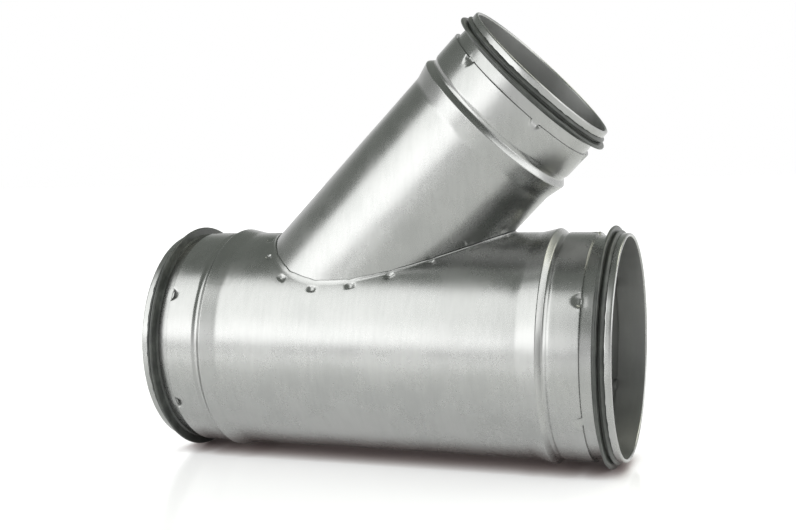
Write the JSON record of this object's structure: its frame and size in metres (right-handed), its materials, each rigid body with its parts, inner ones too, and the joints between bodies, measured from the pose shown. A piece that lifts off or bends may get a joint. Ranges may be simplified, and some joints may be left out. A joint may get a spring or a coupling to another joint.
{
  "type": "forty-five degree pipe tee",
  "caption": "Sheet steel branch tee for round ventilation duct: a smaller branch leaves the run at 45 degrees, with a sealed push-in spigot at each end.",
  "frame": {"origin": "centre of the inlet spigot's folded rim, on the run's axis", "axes": "+X along the run's axis from the inlet to the outlet, +Z towards the side that the branch leaves from, so that the branch leans up and towards the outlet"},
  "size_m": [0.34, 0.1682, 0.3179],
  "materials": {
    "run_steel": "satin zinc coated sheet",
    "branch_steel": "satin zinc coated sheet",
    "seal_rubber": "matte dark grey rubber"
  },
  "bodies": {
    "root": {"run_tube": "run_steel", "branch_tube": "branch_steel", "gasket_inlet": "seal_rubber", "gasket_outlet": "seal_rubber", "gasket_branch": "seal_rubber"}
  },
  "joints": []
}
